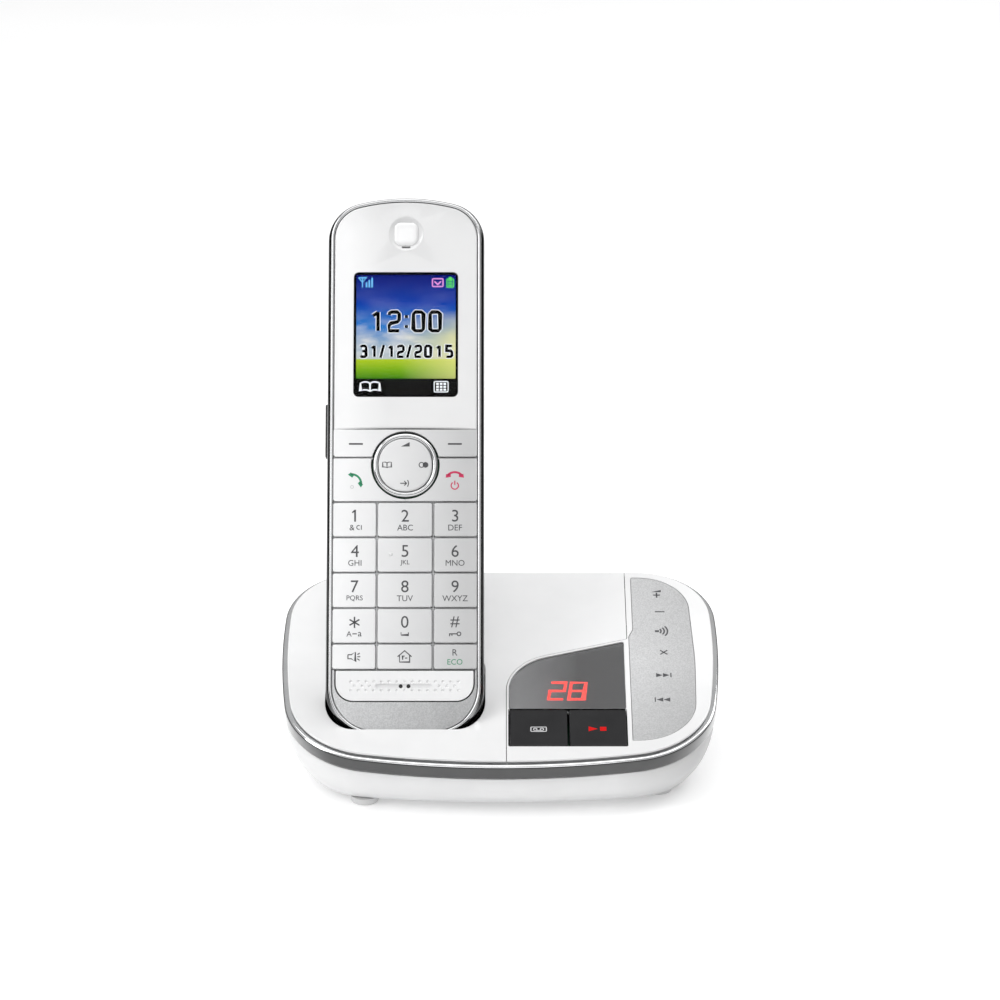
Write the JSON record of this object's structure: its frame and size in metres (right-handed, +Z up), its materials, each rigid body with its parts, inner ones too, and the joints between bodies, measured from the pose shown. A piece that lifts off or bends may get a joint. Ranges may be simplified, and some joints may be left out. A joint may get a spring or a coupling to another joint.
{
  "type": "cordless phone with base",
  "caption": "Slim handset with keypad and colour display, standing in a low rounded charging base with an answering machine display and controls.",
  "frame": {"origin": "on the table under the middle of the phone as it stands, halfway across the base and halfway from the front of the trim band to the back of the leaning handset", "axes": "+X to the right as the user faces the keys, +Y to the back, +Z up"},
  "size_m": [0.1336, 0.1136, 0.1645],
  "materials": {
    "white_gloss": "polished white plastic",
    "white_satin": "satin white plastic",
    "chrome": "bright plated trim",
    "silver": "silver lacquer with fine sparkle",
    "key_plastic": "satin white key plastic",
    "web_grey": "satin grey plastic",
    "black_gloss": "polished black plastic",
    "black_satin": "satin black plastic",
    "smoked_lens": "smoked clear acrylic over the digits",
    "clear_window": "clear acrylic",
    "display": "colour display module",
    "led": "red segment display",
    "back_shell": "polished white plastic",
    "rubber_grey": "soft grey rubber",
    "rubber_black": "soft black rubber",
    "circuit": "green laminate board",
    "speaker": "black speaker basket",
    "contact": "gold-plated contact",
    "steel": "plain steel",
    "cell_jacket": "printed metal cell jacket"
  },
  "bodies": {
    "base": {"base_top_cover": "white_gloss", "control_bezel": "white_gloss", "base_trim_band": "chrome", "base_lower_case": "white_satin", "base_feet": "rubber_grey", "cradle_liner": "black_satin", "charge_springs": "contact", "base_circuit_board": "circuit", "base_loudspeaker": "speaker", "display_window": "smoked_lens", "led_module": "led", "control_panel": "silver", "line_jack": "black_satin", "dc_jack": "black_satin", "base_screws": "steel"},
    "handset": {"handset_back_cover": "back_shell", "handset_frame": "chrome", "handset_trim_ring": "chrome", "handset_front_panel": "white_gloss", "lcd_window": "clear_window", "lcd_module": "display", "earpiece_cap": "white_satin", "earpiece_speaker": "speaker", "keypad_web": "web_grey", "key_mat": "rubber_grey", "handset_circuit_board": "circuit", "mouthpiece_panel": "key_plastic", "handset_chin": "silver", "microphone": "speaker", "batteries": "cell_jacket", "charge_strips": "contact", "headset_socket": "black_satin", "ringer_speaker": "speaker", "handset_screws": "steel"},
    "softkey_left": {"softkey_left": "key_plastic"},
    "softkey_right": {"softkey_right": "key_plastic"},
    "talk_key": {"talk_key": "key_plastic"},
    "end_key": {"end_key": "key_plastic"},
    "key_1": {"key_1": "key_plastic"},
    "key_2": {"key_2": "key_plastic"},
    "key_3": {"key_3": "key_plastic"},
    "key_4": {"key_4": "key_plastic"},
    "key_5": {"key_5": "key_plastic"},
    "key_6": {"key_6": "key_plastic"},
    "key_7": {"key_7": "key_plastic"},
    "key_8": {"key_8": "key_plastic"},
    "key_9": {"key_9": "key_plastic"},
    "key_star": {"key_star": "key_plastic"},
    "key_0": {"key_0": "key_plastic"},
    "key_hash": {"key_hash": "key_plastic"},
    "speaker_key": {"speaker_key": "key_plastic"},
    "intercom_key": {"intercom_key": "key_plastic"},
    "recall_key": {"recall_key": "key_plastic"},
    "navigator_stem": {"navigator_stem": "web_grey"},
    "navigator": {"navigator_key": "key_plastic", "navigator_ring": "chrome"},
    "battery_door": {"battery_door": "back_shell"},
    "headset_cover": {"headset_cover": "rubber_black"},
    "answer_key": {"answer_key": "black_gloss"},
    "play_key": {"play_key": "black_gloss"}
  },
  "joints": [
    {"name": "handset_lift", "type": "slide", "parent": "base", "child": "handset", "axis": [0, 0.4848, 0.8746], "range_m": [0, 0.08]},
    {"name": "softkey_left_press", "type": "slide", "parent": "handset", "child": "softkey_left", "axis": [0, 0.8746, -0.4848], "range_m": [0, 0.0005], "stiffness_N_per_m": 300, "springref_m": -0.0005},
    {"name": "softkey_right_press", "type": "slide", "parent": "handset", "child": "softkey_right", "axis": [0, 0.8746, -0.4848], "range_m": [0, 0.0005], "stiffness_N_per_m": 300, "springref_m": -0.0005},
    {"name": "talk_key_press", "type": "slide", "parent": "handset", "child": "talk_key", "axis": [0, 0.8746, -0.4848], "range_m": [0, 0.0005], "stiffness_N_per_m": 300, "springref_m": -0.0005},
    {"name": "end_key_press", "type": "slide", "parent": "handset", "child": "end_key", "axis": [0, 0.8746, -0.4848], "range_m": [0, 0.0005], "stiffness_N_per_m": 300, "springref_m": -0.0005},
    {"name": "key_1_press", "type": "slide", "parent": "handset", "child": "key_1", "axis": [0, 0.8746, -0.4848], "range_m": [0, 0.0005], "stiffness_N_per_m": 300, "springref_m": -0.0005},
    {"name": "key_2_press", "type": "slide", "parent": "handset", "child": "key_2", "axis": [0, 0.8746, -0.4848], "range_m": [0, 0.0005], "stiffness_N_per_m": 300, "springref_m": -0.0005},
    {"name": "key_3_press", "type": "slide", "parent": "handset", "child": "key_3", "axis": [0, 0.8746, -0.4848], "range_m": [0, 0.0005], "stiffness_N_per_m": 300, "springref_m": -0.0005},
    {"name": "key_4_press", "type": "slide", "parent": "handset", "child": "key_4", "axis": [0, 0.8746, -0.4848], "range_m": [0, 0.0005], "stiffness_N_per_m": 300, "springref_m": -0.0005},
    {"name": "key_5_press", "type": "slide", "parent": "handset", "child": "key_5", "axis": [0, 0.8746, -0.4848], "range_m": [0, 0.0005], "stiffness_N_per_m": 300, "springref_m": -0.0005},
    {"name": "key_6_press", "type": "slide", "parent": "handset", "child": "key_6", "axis": [0, 0.8746, -0.4848], "range_m": [0, 0.0005], "stiffness_N_per_m": 300, "springref_m": -0.0005},
    {"name": "key_7_press", "type": "slide", "parent": "handset", "child": "key_7", "axis": [0, 0.8746, -0.4848], "range_m": [0, 0.0005], "stiffness_N_per_m": 300, "springref_m": -0.0005},
    {"name": "key_8_press", "type": "slide", "parent": "handset", "child": "key_8", "axis": [0, 0.8746, -0.4848], "range_m": [0, 0.0005], "stiffness_N_per_m": 300, "springref_m": -0.0005},
    {"name": "key_9_press", "type": "slide", "parent": "handset", "child": "key_9", "axis": [0, 0.8746, -0.4848], "range_m": [0, 0.0005], "stiffness_N_per_m": 300, "springref_m": -0.0005},
    {"name": "key_star_press", "type": "slide", "parent": "handset", "child": "key_star", "axis": [0, 0.8746, -0.4848], "range_m": [0, 0.0005], "stiffness_N_per_m": 300, "springref_m": -0.0005},
    {"name": "key_0_press", "type": "slide", "parent": "handset", "child": "key_0", "axis": [0, 0.8746, -0.4848], "range_m": [0, 0.0005], "stiffness_N_per_m": 300, "springref_m": -0.0005},
    {"name": "key_hash_press", "type": "slide", "parent": "handset", "child": "key_hash", "axis": [0, 0.8746, -0.4848], "range_m": [0, 0.0005], "stiffness_N_per_m": 300, "springref_m": -0.0005},
    {"name": "speaker_key_press", "type": "slide", "parent": "handset", "child": "speaker_key", "axis": [0, 0.8746, -0.4848], "range_m": [0, 0.0005], "stiffness_N_per_m": 300, "springref_m": -0.0005},
    {"name": "intercom_key_press", "type": "slide", "parent": "handset", "child": "intercom_key", "axis": [0, 0.8746, -0.4848], "range_m": [0, 0.0005], "stiffness_N_per_m": 300, "springref_m": -0.0005},
    {"name": "recall_key_press", "type": "slide", "parent": "handset", "child": "recall_key", "axis": [0, 0.8746, -0.4848], "range_m": [0, 0.0005], "stiffness_N_per_m": 300, "springref_m": -0.0005},
    {"name": "navigator_up_down", "type": "hinge", "parent": "handset", "child": "navigator_stem", "pos_m": [-0.0286, 0.00052, 0.09053], "axis": [1, 0, 0], "range_deg": [-3, 3], "stiffness_Nm_per_rad": 0.2},
    {"name": "navigator_left_right", "type": "hinge", "parent": "navigator_stem", "child": "navigator", "pos_m": [-0.0286, 0.00052, 0.09053], "axis": [0, 0.4848, 0.8746], "range_deg": [-3, 3], "stiffness_Nm_per_rad": 0.2},
    {"name": "battery_door_swing", "type": "hinge", "parent": "handset", "child": "battery_door", "pos_m": [-0.0286, -0.00203, 0.04386], "axis": [-1, 0, 0], "range_deg": [0, 35]},
    {"name": "headset_cover_swing", "type": "hinge", "parent": "handset", "child": "headset_cover", "pos_m": [-0.05285, 0.0109, 0.09009], "axis": [0, -0.8746, 0.4848], "range_deg": [0, 100]},
    {"name": "answer_key_press", "type": "slide", "parent": "base", "child": "answer_key", "axis": [0, 0.2924, -0.9563], "range_m": [0, 0.0005], "stiffness_N_per_m": 400, "springref_m": -0.0005},
    {"name": "play_key_press", "type": "slide", "parent": "base", "child": "play_key", "axis": [0, 0.2924, -0.9563], "range_m": [0, 0.0005], "stiffness_N_per_m": 400, "springref_m": -0.0005}
  ]
}
